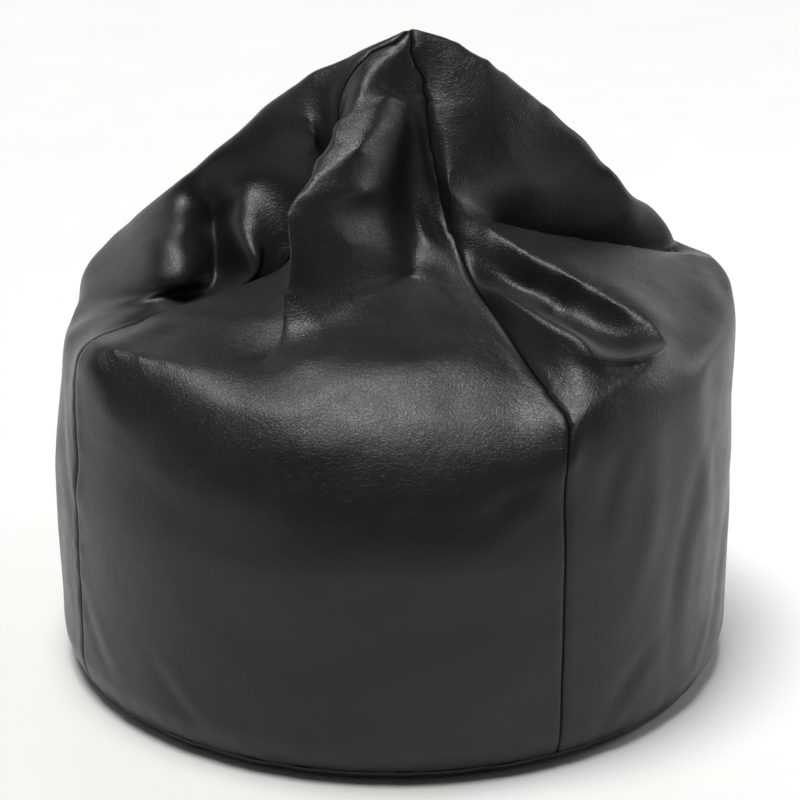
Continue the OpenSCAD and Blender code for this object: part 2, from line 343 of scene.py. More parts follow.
class Pattern:
    """The cover cut open: rings of vertices from the base seam up to the tip, gore by gore."""

    def __init__(self):
        self.place = []  # (angle, length from the tip) of each vertex
        self.faces = []
        self.gore = []  # the gore of each face
        self.start = []
        self.columns = round(math.pi / 2 * R / CLOTH_STEP)
        self.make_rings()
        self.make_faces()
        self.place = np.array(self.place)

    def make_rings(self):
        foot = WALL_FROM + TOP_OF_WALL - BASE_SEAM / R
        count = round(foot * R / CLOTH_STEP)
        self.sizes = []
        for k in range(count):
            length = foot * (1 - k / count)
            share = min(1.0, length / TENT)
            m = max(2, round(self.columns * share))
            self.sizes.append(m)
            self.start.append(len(self.place))
            for j in range(GORES * m):
                self.place.append((FIRST_SEAM + GORE * j / m, length))
        self.tip = len(self.place)
        self.place.append((0.0, 0.0))

    def make_faces(self):
        for k in range(len(self.sizes) - 1):
            m_low, m_up = self.sizes[k], self.sizes[k + 1]
            drop = m_low - m_up
            if drop == 1:
                skips = [int(k * GOLDEN % 1 * m_low)]
            else:
                skips = [int((i + 0.5) * m_low / drop) for i in range(drop)]
            for g in range(GORES):
                self.face_row(k, g, m_low, m_up, skips)
        ring = GORES * self.sizes[-1]
        for j in range(ring):
            a = self.start[-1] + j
            b = self.start[-1] + (j + 1) % ring
            self.faces.append((a, b, self.tip))
            self.gore.append(j // self.sizes[-1])

    def face_row(self, k, g, m_low, m_up, skips):
        low = [self.start[k] + (g * m_low + j) % (GORES * m_low) for j in range(m_low + 1)]
        up = [self.start[k + 1] + (g * m_up + j) % (GORES * m_up) for j in range(m_up + 1)]
        i = 0
        for j in range(m_low):
            if j in skips:
                self.faces.append((low[j], low[j + 1], up[i]))
            else:
                self.faces.append((low[j], low[j + 1], up[i + 1], up[i]))
                i += 1
            self.gore.append(g)


def along(points, step):
    """A fold line's points with others put between them, on a smooth curve through them."""
    p = np.array(points, float)
    out = []
    for i in range(len(p) - 1):
        before = p[max(i - 1, 0)]
        after = p[min(i + 2, len(p) - 1)]
        n = max(1, math.ceil(np.linalg.norm((p[i + 1] - p[i])[2:]) * R / step))
        for k in range(n):
            t = k / n
            m0 = (p[i + 1] - before) / 2
            m1 = (after - p[i]) / 2
            out.append((2 * t ** 3 - 3 * t ** 2 + 1) * p[i] + (t ** 3 - 2 * t ** 2 + t) * m0
                       + (3 * t ** 2 - 2 * t ** 3) * p[i + 1] + (t ** 3 - t ** 2) * m1)
    out.append(p[-1])
    return out


FROM_TIP = ("left edge", "left skyline", "front seam", "right skyline")
LOW_WALL = 0.62  # the wall below this height doesn't move, in R
TENT_STIFFNESS = 0.35  # resistance to bending, against being drawn tight
RIM_STIFFNESS = 5.0
RIM_FROM = 1.2
LOBES = (-88, 17, 0.98, 0.24, 1.5)  # the left lumps: angle, width, length, width, stiffness
EVENING = 6  # rounds of evening out
CROWDED = 20  # only the tip has this many neighbours
MOST_STEPS = 1500
CLOSE_ENOUGH = 1e-12
FOLD_FIRM = 0.9  # lines at least this firm are folds


def fold_points():
    """Every fold line's close-set points, as (angle, length, place in metres, firm)."""
    out = []
    for name, (firm, points) in FOLDS.items():
        whole = [(angle, *(v / 1000 for v in rest)) for angle, *rest in points]
        if name in FROM_TIP:
            whole = [(points[0][0], 0.0) + TIP] + whole
        for p in along(whole, CLOTH_STEP * 0.8):
            out.append((p[0], p[1], p[2:] * R, firm))
    return out


def hold_folds(pattern, first):
    """{vertex: (place, firm)} for the vertices nearest to the fold lines, from a vertex on."""
    held = {}
    gaps = {}
    place = pattern.place[first:]
    for angle, l, where, firm in fold_points():
        roll = np.radians((place[:, 0] - angle + 180) % 360 - 180) / TENT
        gap = place[:, 1] ** 2 + l ** 2 - 2 * l * place[:, 1] * np.cos(roll)
        i = int(gap.argmin())
        if gap[i] < gaps.get(i + first, 1.0):
            gaps[i + first] = gap[i]
            held[i + first] = (where, firm)
    held[pattern.tip] = (np.array(TIP) * R, 1.0)
    return held


def split_along_folds(pattern, held):
    """Cuts each quad that a fold line crosses from corner to corner, so that it can bend there."""
    faces = []
    gores = []
    for f, gore in zip(pattern.faces, pattern.gore):
        firm = [held[i][1] if i in held else 0.0 for i in f]
        parts = [f]
        if len(f) == 4:
            if min(firm[0], firm[2]) >= FOLD_FIRM > min(firm[1], firm[3]):
                parts = [(f[0], f[1], f[2]), (f[0], f[2], f[3])]
            elif min(firm[1], firm[3]) >= FOLD_FIRM > min(firm[0], firm[2]):
                parts = [(f[0], f[1], f[3]), (f[1], f[2], f[3])]
        faces += parts
        gores += [gore] * len(parts)
    pattern.faces = faces
    pattern.gore = gores


def even_cloth(pattern, x):
    """Evens out the fold lines, and then the cloth between them."""
    table, size, keep, folded = pattern.even
    even_folds(x, table, folded)
    even_out(x, table, size, keep)


def even_folds(x, table, folded):
    """Evens out each fold line along itself."""
    mate = np.append(folded, False)[table]
    count = mate.sum(1)
    move = folded & (count >= 2)
    for _ in range(EVENING // 2):
        padded = np.vstack((x, np.zeros((1, 3))))[table] * mate[:, :, None]
        around = padded.sum(1) / np.maximum(count, 1)[:, None]
        x[move] += 0.5 * (around - x)[move]


def even_out(x, table, size, keep):
    """Takes the small unevenness out of the cloth between its creases."""
    for k in range(2 * EVENING):
        around = np.vstack((x, np.zeros((1, 3))))[table].sum(1) / size
        share = 0.5 if k % 2 == 0 else -0.52
        x += np.where(keep[:, None], 0, share * (around - x))


def neighbour_table(pattern):
    """Each vertex's neighbours, padded with the vertex count, and how many it has."""
    count = len(pattern.place)
    near = [set() for _ in range(count)]
    for f in pattern.faces:
        for p, q in zip(f, f[1:] + f[:1]):
            near[p].add(q)
            near[q].add(p)
    most = max(len(n) for n in near if len(n) < CROWDED)
    table = np.full((count, most), count)
    for i, others in enumerate(near):
        if len(others) < CROWDED:
            table[i, :len(others)] = sorted(others)
    return table, (table < count).sum(1)[:, None]


def solve(x, fixed, table, size, stiff):
    """Moves the free vertices to where tension and bending balance, by conjugate gradients."""
    def spread(v):
        padded = np.vstack((v, np.zeros((1, 3))))
        return size * v - padded[table].sum(1)

    def force(v):
        bend = spread(v)
        return bend + spread(bend * stiff)

    r = -force(x)
    r[fixed] = 0
    d = r.copy()
    error = (r * r).sum(0)
    for _ in range(MOST_STEPS):
        ad = force(d)
        ad[fixed] = 0
        step = error / np.maximum((d * ad).sum(0), 1e-30)
        x += step * d
        r -= step * ad
        new = (r * r).sum(0)
        if new.max() < CLOSE_ENOUGH:
            break
        d = r + new / np.maximum(error, 1e-30) * d
        error = new


def draw_tight(pattern):
    """Every vertex's place when the cloth is drawn over its fold lines, and its pinned vertices."""
    count = len(pattern.place)
    angle, length = pattern.place.T
    x = np.zeros((count, 3))
    for i in range(count):
        x[i] = (*way(angle[i]) * R, (TOP_OF_WALL + WALL_FROM - length[i]) * R)
    held = hold_folds(pattern, int(np.where(length < WALL_FROM)[0].min()))
    split_along_folds(pattern, held)
    table, size = neighbour_table(pattern)
    still = length > WALL_FROM + TOP_OF_WALL - LOW_WALL - 0.001
    fixed = still.copy()
    creased = np.zeros(count, bool)
    folded = np.zeros(count, bool)
    for i, (where, firm) in held.items():
        fixed[i] = True
        creased[i] = firm == 1.0
        folded[i] = firm >= FOLD_FIRM
        x[i] = where
    rim = np.clip((length - RIM_FROM) / 0.25, 0, 1)
    lobes = bell(turn(angle, LOBES[0]), LOBES[1]) * bell(length - LOBES[2], LOBES[3])
    stiff = (TENT_STIFFNESS + RIM_STIFFNESS * rim + LOBES[4] * lobes)[:, None] * ~creased[:, None]
    solve(x, fixed, table, size, stiff)
    pattern.even = (table, size, folded | still, folded)
    even_cloth(pattern, x)
    pins = {i: firm for i, (_, firm) in held.items()}
    pins.update((int(i), 1.0) for i in np.where(still)[0])
    return x, pins


FRAMES = 22
GROWTH = 1.012  # how much larger the cloth is cut
LEATHERETTE_CLOTH = {
    "quality": 8, "mass": 0.3, "tension_stiffness": 40, "compression_stiffness": 40,
    "shear_stiffness": 20, "bending_stiffness": 6, "tension_damping": 12,
    "compression_damping": 12, "shear_damping": 12, "bending_damping": 1, "air_damping": 3,
    "pin_stiffness": 10}


def settle(pattern, x, pinned):
    """Lets the cloth above the wall settle round its folds, by cloth simulation."""
    low_row = WALL_FROM + TOP_OF_WALL - LOW_WALL + 3 * CLOTH_STEP / R
    keep = np.where(pattern.place[:, 1] < low_row)[0]
    first = int(keep.min())
    faces = [tuple(i - first for i in f) for f in pattern.faces if min(f) >= first]
    cloth = mesh_object("cloth", x[first:], faces)
    pins = cloth.vertex_groups.new(name="pins")
    for i, firm in pinned.items():
        if i >= first:
            pins.add([i - first], firm, "REPLACE")
    cloth.shape_key_add(name="Basis")
    cut = cloth.shape_key_add(name="Cut")
    cut.data.foreach_set("co", (x[first:] * GROWTH).astype(np.float32).ravel())
    cut.value = 0.0
    sim = cloth.modifiers.new("cloth", "CLOTH")
    sim.settings.rest_shape_key = cut
    sim.settings.vertex_group_mass = "pins"
    sim.settings.effector_weights.gravity = 0.05
    for key, value in LEATHERETTE_CLOTH.items():
        setattr(sim.settings, key, value)
    sim.collision_settings.use_self_collision = True
    sim.collision_settings.self_distance_min = 0.004
    sim.collision_settings.collision_quality = 2
    scene = bpy.context.scene
    scene.frame_start = 1
    scene.frame_end = FRAMES
    sim.point_cache.frame_end = FRAMES
    for f in range(1, FRAMES + 1):
        scene.frame_set(f)
    bake(cloth)
    out = x.copy()
    out[first:] = coords(cloth.data)
    even_cloth(pattern, out)
    bpy.data.objects.remove(cloth)
    scene.frame_set(1)
    return out


# ---- from the cloth's shape to the finished panels ----

ZIP_SEAM = FIRST_SEAM - GORE  # the rear seam, which holds the zip
ALONG_WALL = np.array((math.cos(math.radians(ZIP_SEAM)), math.sin(math.radians(ZIP_SEAM)), 0))
ZIP_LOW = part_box("zip_tape_left")[0].z + 0.002
ZIP_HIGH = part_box("zip_tape_left")[1].z - 0.002
SLIT = 0.006  # half the gap that the panels leave for the zip
ON_SEAM = 0.001  # a vertex this near the zip's seam is on it
SLIT_EASE = 0.030  # how far from the slit the cloth still gives way to it
FOOT = (0.014, 0.055)  # the wall turns in from the upper of these heights to the lower
FOOT_IN = 0.0125  # how far the wall turns in above the base seam
SEAM_DEPTH = 0.0022
SEAM_WIDTH = 0.0030
PUCKER = 0.0009  # how high the puckers beside a seam stand
GATHER = 0.0011  # how uneven the wall is at the base seam
CREASE_TOP = 0.40  # above this height the wall has no pressed creases
CREASE_SHARE = 0.65  # how much of their depth the pressed creases get
THREAD_DEEP = 0.0032  # how far inside the cover its seam thread lies
THREAD_R = 0.0005
FOLD_CREASE = 0.12  # how sharp the firm folds stay in the fine mesh

# Creases that the beads press into the drum's wall: (angle, height, length, tilt, half width, how
# far they stand out), in degrees and millimetres.
WALL_CREASES = (
    (-52, 385, 130, -62, 12, -3.5), (-44, 360, 160, -74, 16, 2.8), (-30, 300, 220, -72, 30, -3),
    (-8, 330, 260, -80, 32, 2.6), (-20, 170, 240, -66, 34, -3), (4, 200, 220, 74, 30, -2.2),
    (18, 340, 100, 60, 14, -2.8), (14, 100, 180, 62, 26, 2.6), (36, 360, 140, 22, 16, -3.4),
    (44, 280, 200, 12, 22, 3.2), (52, 220, 260, 16, 18, -3.6), (60, 300, 240, -10, 22, 3.4),
    (70, 160, 220, 24, 20, -3.6), (82, 270, 280, -6, 26, -3.4), (40, 90, 120, 48, 14, -3),
    (62, 80, 120, 40, 13, 2.8), (-70, 300, 200, -30, 20, -3.4), (-80, 200, 220, 14, 24, 3),
    (-58, 100, 120, -42, 14, -2.8), (-36, 70, 100, -50, 12, -2.6), (104, 300, 220, 20, 22, -3.6),
    (124, 220, 260, -14, 24, -3.4), (142, 320, 200, 30, 20, -3.6), (158, 160, 220, -24, 22, 3),
    (176, 280, 240, 10, 26, -3.4), (190, 360, 100, 40, 14, -2.6), (226, 300, 240, -16, 24, -3.6),
    (242, 180, 240, 20, 22, -3.2), (256, 330, 180, -34, 18, 3), (268, 240, 220, 8, 22, -3.4))


def wall_creases(angle, z):
    """How far the drum's wall stands out, from the creases that the beads press into it."""
    out = np.zeros(len(z))
    for a, height, length, tilt, width, depth in WALL_CREASES:
        height, length, width, depth = (v / 1000 for v in (height, length, width, depth))
        across = np.radians(turn(angle, a)) * R
        up = z - height
        t = math.radians(tilt)
        side = across * math.cos(t) - up * math.sin(t)
        run = across * math.sin(t) + up * math.cos(t)
        bend = side + 1.4 * run ** 2 * math.copysign(1, depth)
        out += depth * (bell(bend, width) - 0.45 * bell(bend - 1.7 * width, width)) \
            * bell(run, length * 0.5)
    return CREASE_SHARE * out


def gap_to(edges, co, sources, rounds):
    """How far each vertex is from the nearest source along the mesh, for a few edges' reach."""
    far = np.full(len(co), 1.0)
    far[sources] = 0
    length = np.linalg.norm(co[edges[:, 0]] - co[edges[:, 1]], axis=1)
    for _ in range(rounds):
        np.minimum.at(far, edges[:, 0], far[edges[:, 1]] + length)
        np.minimum.at(far, edges[:, 1], far[edges[:, 0]] + length)
    return far


def finish_surface(mesh, gore_of_face, faces):
    """Presses the seams and creases into the fine cover, and opens the slit for the zip."""
    co = coords(mesh)
    normal = mesh_normals(mesh)
    lowest = np.full(len(co), 9)
    highest = np.full(len(co), -9)
    for f, g in zip(faces, gore_of_face):
        for i in f:
            lowest[i] = min(lowest[i], g)
            highest[i] = max(highest[i], g)
    seam = lowest != highest
    edges = mesh_edges(mesh)
    gap = gap_to(edges, co, np.where(seam)[0], 10)
    angle = round_angle(co)
    z = co[:, 2]
    by_zip = bell(turn(angle, ZIP_SEAM) * math.pi / 180 * R, 0.05) \
        * ease((ZIP_HIGH + 0.03 - z) / 0.03)
    wall = ease((CREASE_TOP - z) / 0.06)
    out = wall_creases(angle, z) * wall * (1 - by_zip)
    foot = np.clip((FOOT[1] - z) / (FOOT[1] - FOOT[0]), 0, 1)
    out -= FOOT_IN * foot ** 2 * (1 - by_zip)
    pucker = 0.5 + 0.5 * np.sin(z / 0.0068 + 2.1 * np.sin(z / 0.031) + 3 * np.sin(angle / 40))
    out -= SEAM_DEPTH * bell(gap, SEAM_WIDTH) * (1 - by_zip)
    out += PUCKER * pucker * bell(gap - 0.010, 0.007) * (1 - by_zip)
    edge = pucker_round(np.radians(angle))
    out += GATHER * edge * bell(z - BASE_SEAM, 0.022) * (1 - by_zip)
    co += normal * out[:, None]
    co[:, 2] += 0.0012 * edge * bell(z - BASE_SEAM, 0.010)
    open_part = ease((z - ZIP_LOW) / 0.006) * ease((ZIP_HIGH - z) / 0.006)
    side = turn(angle, ZIP_SEAM) * math.pi / 180 * R
    reach = np.clip(1 - np.abs(side) / SLIT_EASE, 0, 1) * open_part
    on_seam = np.abs(side) < ON_SEAM
    sign = np.where(on_seam, 0.0, np.sign(side))
    co += ALONG_WALL * (SLIT * reach * sign)[:, None]
    set_coords(mesh, co)
    return seam, open_part * on_seam


def seam_threads(co, normal, seam, gore, faces):
    """The thread that sews the side seams, just inside the cover along each of them."""
    beside = {}
    for f, g in zip(faces, gore):
        for i in f:
            if seam[i]:
                beside.setdefault(i, set()).add(int(g))
    parts = []
    for g in range(GORES):
        pair = {g, (g + 1) % GORES}
        line = [i for i, near in beside.items() if near == pair]
        line.sort(key=lambda i: co[i, 2])
        line = [i for i in line if g != 2 or co[i, 2] > ZIP_HIGH + 0.01]
        points = [co[i] - normal[i] * THREAD_DEEP for i in line][2:-2:2]
        ordered = [points.pop(0)]
        while points:
            gaps = [float(np.linalg.norm(p - ordered[-1])) for p in points]
            k = int(np.argmin(gaps))
            if gaps[k] > 0.03:
                break
            ordered.append(points.pop(k))
        parts.append(tube(ordered, THREAD_R, 5))
    return joined("seam_stitching", parts)


def cover():
    """The cover's four panels, sewn from one piece of settled cloth."""
    pattern = Pattern()
    x, pinned = draw_tight(pattern)
    x = settle(pattern, x, pinned)
    whole = mesh_object("whole", x, pattern.faces)
    whole.data.polygons.foreach_set("material_index", pattern.gore)
    sharp = np.array([pinned.get(i, 0.0) for i in range(len(x))])
    sharp[pattern.place[:, 1] > WALL_FROM] = 0
    ends = sharp[mesh_edges(whole.data)]
    crease = whole.data.attributes.new("crease_edge", "FLOAT", "EDGE")
    crease.data.foreach_set("value", np.where(ends.min(1) == 1.0, FOLD_CREASE, 0.0))
    fine = whole.modifiers.new("fine", "SUBSURF")
    fine.levels = 2
    soft = whole.modifiers.new("soft", "SMOOTH")
    soft.factor = 0.5
    soft.iterations = 9
    bake(whole)
    mesh = whole.data
    gore = np.empty(len(mesh.polygons), np.int32)
    mesh.polygons.foreach_get("material_index", gore)
    faces = [tuple(p.vertices) for p in mesh.polygons]
    seam, slit = finish_surface(mesh, gore, faces)
    co = coords(mesh)
    panels = []
    for g, name in enumerate(PANELS):
        side = {2: -1.0, 3: 1.0}.get(g, 0.0)
        opened = co + ALONG_WALL * (SLIT * side * slit)[:, None]
        panel = cut_out("cover_" + name, opened, [faces[i] for i in np.where(gore == g)[0]])
        thicken(panel, COVER_T, -1)
        panels.append(panel)
    threads = seam_threads(co, mesh_normals(mesh), seam, gore, faces)
    bpy.data.objects.remove(whole)
    return panels, x, threads


# ---- camera, light and floor ----

def aim(obj, target):
    """Turns an object's -Z towards a point."""
    obj.rotation_euler = (Vector(target) - obj.location).to_track_quat("-Z", "Y").to_euler()


CAMERA_AT = (0.018, -6.318, 3.014)  # in R
LOOKS_AT = (0.018, 0, 0.743)


def camera():
    data = bpy.data.cameras.new("camera")
    data.lens = 101.8
    data.sensor_width = 36
    obj = bpy.data.objects.new("camera", data)
    obj.location = [v * R for v in CAMERA_AT]
    aim(obj, [v * R for v in LOOKS_AT])
    bpy.context.scene.collection.objects.link(obj)
    bpy.context.scene.camera = obj


def lamp(name, kind, place, target, tint, **settings):
    """A light at a place, turned towards a target."""
    data = bpy.data.lights.new(name, kind)
    data.color = tint
    for key, value in settings.items():
        setattr(data, key, value)
    obj = bpy.data.objects.new(name, data)
    obj.location = place
    aim(obj, target)
    bpy.context.scene.collection.objects.link(obj)


FRONT_ROOM = (0.05, 0.05, 0.05)
BACKDROP = (0.95, 0.97, 1.0)
FLOOR = 30  # half the floor's width


def surroundings():
    """A low bright backdrop round the back and sides of the chair, in a dim room."""
    world = bpy.data.worlds.new("studio")
    world.use_nodes = True
    tree = world.node_tree
    where = tree.nodes.new("ShaderNodeTexCoord")
    parts = tree.nodes.new("ShaderNodeSeparateXYZ")
    tree.links.new(where.outputs["Generated"], parts.inputs[0])
    behind = spread_over(tree, parts.outputs["Y"], -0.45, 0.55, 0.0, 1.0)
    low = spread_over(tree, parts.outputs["Z"], 0.38, 0.62, 1.0, 0.0)
    both = add(tree, "ShaderNodeMath", operation="MULTIPLY")
    tree.links.new(behind, both.inputs[0])
    tree.links.new(low, both.inputs[1])
    glow = between(tree, both.outputs["Value"], FRONT_ROOM, BACKDROP, 0.0, 1.0)
    tree.links.new(glow, tree.nodes["Background"].inputs["Color"])
    paper = tree.nodes.new("ShaderNodeBackground")
    paper.inputs["Color"].default_value = (0.97, 0.97, 0.97, 1)
    seen = tree.nodes.new("ShaderNodeLightPath")
    pick = tree.nodes.new("ShaderNodeMixShader")
    tree.links.new(seen.outputs["Is Camera Ray"], pick.inputs[0])
    tree.links.new(tree.nodes["Background"].outputs[0], pick.inputs[1])
    tree.links.new(paper.outputs[0], pick.inputs[2])
    tree.links.new(pick.outputs[0], tree.nodes["World Output"].inputs[0])
    bpy.context.scene.world = world


def studio():
    surroundings()
    bpy.context.scene.view_settings.view_transform = "Standard"
    lamp("ceiling", "SUN", (0, 0, 0), (0.10, 0.04, -1), (1.0, 0.99, 0.955), energy=3.0,
         angle=math.radians(26))
    lamp("right window", "AREA", (2.6, 0.9, 1.5), (0, 0, 0.4), (0.90, 0.95, 1.0),
         shape="RECTANGLE", size=0.7, size_y=1.2, energy=14)
    corners = [(-FLOOR, -FLOOR, 0), (FLOOR, -FLOOR, 0), (FLOOR, FLOOR, 0), (-FLOOR, FLOOR, 0)]
    floor = mesh_object("floor", corners, [(0, 1, 2, 3)])
    floor.data.materials.append(floor_paint())


# ---- materials ----

def material(name, colour, rough, metal=0.0, specular=0.5):
    """A new material, its shader and its node tree."""
    mat = bpy.data.materials.new(name)
    mat.use_nodes = True
    shader = mat.node_tree.nodes["Principled BSDF"]
    shader.inputs["Base Color"].default_value = (*colour, 1)
    shader.inputs["Roughness"].default_value = rough
    shader.inputs["Metallic"].default_value = metal
    shader.inputs["Specular IOR Level"].default_value = specular
    return mat, shader, mat.node_tree


def feed(tree, shader, **outputs):
    """Links outputs to the shader's sockets, named with _ for a space."""
    for name, output in outputs.items():
        tree.links.new(output, shader.inputs[name.replace("_", " ")])


def add(tree, kind, **settings):
    """A new node, with its sockets and properties set by name."""
    node = tree.nodes.new(kind)
    for key, value in settings.items():
        socket = key.replace("_", " ").title()
        if socket in node.inputs:
            node.inputs[socket].default_value = value
        else:
            setattr(node, key, value)
    return node


def place_of(tree, scale=(1, 1, 1), turned=(0, 0, 0)):
    """Object coordinates in metres, stretched and turned."""
    where = add(tree, "ShaderNodeTexCoord")
    fit = add(tree, "ShaderNodeMapping")
    fit.inputs["Scale"].default_value = scale
    fit.inputs["Rotation"].default_value = turned
    tree.links.new(where.outputs["Object"], fit.inputs["Vector"])
    return fit.outputs["Vector"]


def noise(tree, where, scale, detail=4.0, roughness=0.55, distortion=0.0):
    node = add(tree, "ShaderNodeTexNoise", scale=scale, detail=detail, roughness=roughness,
               distortion=distortion)
    tree.links.new(where, node.inputs["Vector"])
    return node.outputs["Fac"]


def spread_over(tree, value, low, high, to_low, to_high):
    """A value's range stretched over another, and kept inside it."""
    node = add(tree, "ShaderNodeMapRange")
    for name, number in (("From Min", low), ("From Max", high), ("To Min", to_low),
                         ("To Max", to_high)):
        node.inputs[name].default_value = number
    tree.links.new(value, node.inputs["Value"])
    return node.outputs["Result"]


def between(tree, value, dark, light, low=0.3, high=0.7):
    """A colour that goes from one to another as a value goes from low to high."""
    ramp = add(tree, "ShaderNodeValToRGB")
    ramp.color_ramp.elements[0].position = low
    ramp.color_ramp.elements[0].color = (*dark, 1)
    ramp.color_ramp.elements[1].position = high
    ramp.color_ramp.elements[1].color = (*light, 1)
    tree.links.new(value, ramp.inputs["Fac"])
    return ramp.outputs["Color"]


def bump(tree, height, distance, strength=1.0, under=None):
    """A bump of a depth in metres, on top of another if there is one."""
    node = add(tree, "ShaderNodeBump")
    node.inputs["Strength"].default_value = strength
    node.inputs["Distance"].default_value = distance
    tree.links.new(height, node.inputs["Height"])
    if under is not None:
        tree.links.new(under, node.inputs["Normal"])
    return node.outputs["Normal"]


def warped(tree, where, scale, amount):
    """Coordinates pushed about by noise, so that a pattern on them runs crooked."""
    push = add(tree, "ShaderNodeTexNoise", scale=scale, detail=2.0)
    tree.links.new(where, push.inputs["Vector"])
    grow = add(tree, "ShaderNodeVectorMath", operation="SCALE")
    grow.inputs["Scale"].default_value = amount
    tree.links.new(push.outputs["Color"], grow.inputs[0])
    total = add(tree, "ShaderNodeVectorMath", operation="ADD")
    tree.links.new(where, total.inputs[0])
    tree.links.new(grow.outputs["Vector"], total.inputs[1])
    return total.outputs["Vector"]


def cracks(tree, where, scale):
    """Distance to the edges of an irregular net, 0 on its lines."""
    node = add(tree, "ShaderNodeTexVoronoi", feature="DISTANCE_TO_EDGE", scale=scale)
    tree.links.new(where, node.inputs["Vector"])
    return node.outputs["Distance"]


def leatherette(name, colour, worn, grain):
    """Black leatherette: a fine net of creases, longer wrinkles, and wear that lightens it."""
    mat, shader, tree = material(name, colour, 0.33, specular=0.35)
    where = place_of(tree)
    wear = noise(tree, where, 7.0, 5.0, 0.6)
    shade = between(tree, wear, colour, worn, 0.40, 0.72)
    crooked = warped(tree, where, 90.0, 0.006)
    net = spread_over(tree, cracks(tree, crooked, 520.0 / grain), 0.0, 0.14, 0.0, 1.0)
    folds = spread_over(tree, cracks(tree, warped(tree, where, 55.0, 0.012), 190.0 / grain),
                        0.0, 0.16, 0.0, 1.0)
    soft = noise(tree, where, 60.0, 6.0, 0.62, 0.6)
    pores = noise(tree, where, 1500.0, 2.0, 0.6)
    swell = noise(tree, where, 14.0, 3.0, 0.5)
    relief = bump(tree, swell, 0.0012)
    relief = bump(tree, soft, 0.0003, under=relief)
    relief = bump(tree, folds, 0.00012, under=relief)
    relief = bump(tree, net, 0.00006, under=relief)
    relief = bump(tree, pores, 0.00004, under=relief)
    gloss = spread_over(tree, noise(tree, where, 22.0, 5.0, 0.6), 0.3, 0.7, 0.29, 0.39)
    feed(tree, shader, Base_Color=shade, Normal=relief, Roughness=gloss)
    return mat


def woven(name, colour, light, pitch, sheen=0.0):
    """Cloth of crossing threads, pitch metres apart."""
    mat, shader, tree = material(name, colour, 0.8, specular=0.3)
    shader.inputs["Sheen Weight"].default_value = sheen
    where = place_of(tree)
    threads = []
    for direction in ("X", "Z"):
        wave = add(tree, "ShaderNodeTexWave", bands_direction=direction,
                   scale=1 / pitch / 20 * 2 * math.pi, distortion=0.4, detail=1.0)
        tree.links.new(where, wave.inputs["Vector"])
        threads.append(wave.outputs["Fac"])
    cross = add(tree, "ShaderNodeMath", operation="MAXIMUM")
    tree.links.new(threads[0], cross.inputs[0])
    tree.links.new(threads[1], cross.inputs[1])
    feed(tree, shader, Base_Color=between(tree, noise(tree, where, 30.0), colour, light),
         Normal=bump(tree, cross.outputs["Value"], pitch * 0.3))
    return mat


def nylon(name, colour, light):
    """Moulded nylon, a little uneven."""
    mat, shader, tree = material(name, colour, 0.35)
    where = place_of(tree)
    feed(tree, shader, Base_Color=between(tree, noise(tree, where, 80.0), colour, light),
         Normal=bump(tree, noise(tree, where, 900.0, 3.0), 0.00005))
    return mat


def lacquer():
    """Black lacquered metal, rubbed to bare metal in spots."""
    mat, shader, tree = material("black_lacquer", (0.03, 0.03, 0.03), 0.3, specular=0.6)
    where = place_of(tree)
    rubbed = spread_over(tree, noise(tree, where, 420.0, 6.0, 0.7), 0.60, 0.68, 0.0, 1.0)
    feed(tree, shader, Metallic=rubbed,
         Base_Color=between(tree, rubbed, (0.025, 0.025, 0.027), (0.42, 0.41, 0.40), 0.0, 1.0),
         Roughness=spread_over(tree, noise(tree, where, 300.0), 0.3, 0.7, 0.22, 0.42),
         Normal=bump(tree, noise(tree, where, 700.0, 3.0), 0.00003))
    return mat


def thread_paint():
    """Twisted polyester thread."""
    mat, shader, tree = material("sewing_thread", (0.016, 0.016, 0.017), 0.6)
    where = place_of(tree, turned=(0.6, 0.5, 0))
    wave = add(tree, "ShaderNodeTexWave", scale=260.0, distortion=1.0)
    tree.links.new(where, wave.inputs["Vector"])
    shade = between(tree, noise(tree, where, 300.0), (0.012, 0.012, 0.013), (0.03, 0.03, 0.032))
    feed(tree, shader, Base_Color=shade, Normal=bump(tree, wave.outputs["Fac"], 0.0001))
    return mat


def bead_paint():
    """Expanded polystyrene: round white beads packed side by side, with painted shade that darkens
    each bead from its middle towards its edge, where it meets the next.
    """
    mat, shader, tree = material("polystyrene_beads", (0.88, 0.88, 0.87), 0.75)
    where = place_of(tree)
    cell = add(tree, "ShaderNodeTexVoronoi", feature="F1", scale=260.0)
    tree.links.new(where, cell.inputs["Vector"])
    ball = spread_over(tree, cell.outputs["Distance"], 0.0, 0.6, 1.0, 0.0)
    # painted shade: the beads' white falls from 0.92 at each bead's middle to 0.62 in the crevices
    # between beads
    shade = between(tree, cell.outputs["Distance"], (0.92, 0.92, 0.91), (0.62, 0.62, 0.61), 0.2,
                    0.75)
    feed(tree, shader, Base_Color=shade, Normal=bump(tree, ball, 0.0018))
    return mat


def floor_paint():
    """The studio's pale floor."""
    mat, shader, tree = material("floor_paint", (0.9, 0.9, 0.9), 0.6)
    where = place_of(tree)
    feed(tree, shader, Base_Color=between(tree, noise(tree, where, 3.0), (0.885,) * 3,
                                          (0.905,) * 3))
    return mat


def paint(obj, mat):
    obj.data.materials.clear()
    obj.data.materials.append(mat)


# ---- the base ----

def disc(name, rows, spokes, place, thickness):
    """A round sheet from rows of (share of the radius, height), outwards from its middle.

    place gives each vertex's radius and height.
    """
    verts = []
    for share, z in rows:
        for j in range(spokes):
            a = 2 * math.pi * j / spokes
            r, up = place(a, share, z)
            verts.append((r * math.sin(a), -r * math.cos(a), up))
    middle = len(verts)
    verts.append((0, 0, rows[0][1]))
    faces = [(middle, (j + 1) % spokes, j) for j in range(spokes)]
    obj = mesh_object(name, verts, faces + ring_quads(len(rows), spokes))
    thicken(obj, thickness, 1)
    return obj


def pucker_round(a):
    """The uneven gathers round the seam between the base and the wall, at an angle in radians."""
    return np.sin(a * 37 + 2.5 * np.sin(a * 5)) + 0.8 * np.sin(a * 61 + 1.7 * np.sin(a * 9))


